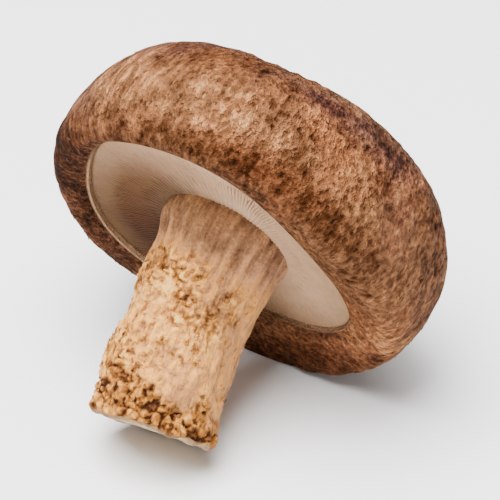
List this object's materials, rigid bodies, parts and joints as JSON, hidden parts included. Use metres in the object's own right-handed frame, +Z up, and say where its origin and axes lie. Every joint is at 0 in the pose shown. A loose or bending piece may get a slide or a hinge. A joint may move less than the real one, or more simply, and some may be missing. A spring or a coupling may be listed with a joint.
{
  "type": "shiitake mushroom",
  "caption": "Picked shiitake mushroom lying on its cap's rim and its cut stem, with a domed brown cap, cream gills and a short tan stem.",
  "frame": {"origin": "the point of the surface it lies on that is under the middle of the mushroom's box, as it lies", "axes": "+Z up, with the mushroom lying down; the cap's axis points up towards +X at 24.5 degrees above the surface and the stem points down towards -X; +Y is along the cap's widest line, which lies level"},
  "size_m": [0.0538, 0.0604, 0.0566],
  "materials": {
    "cap_skin": "matte",
    "gill_cream": "matte",
    "stem_tan": "matte"
  },
  "bodies": {
    "root": {"cap": "cap_skin", "gills": "gill_cream", "stem": "stem_tan"}
  },
  "joints": []
}
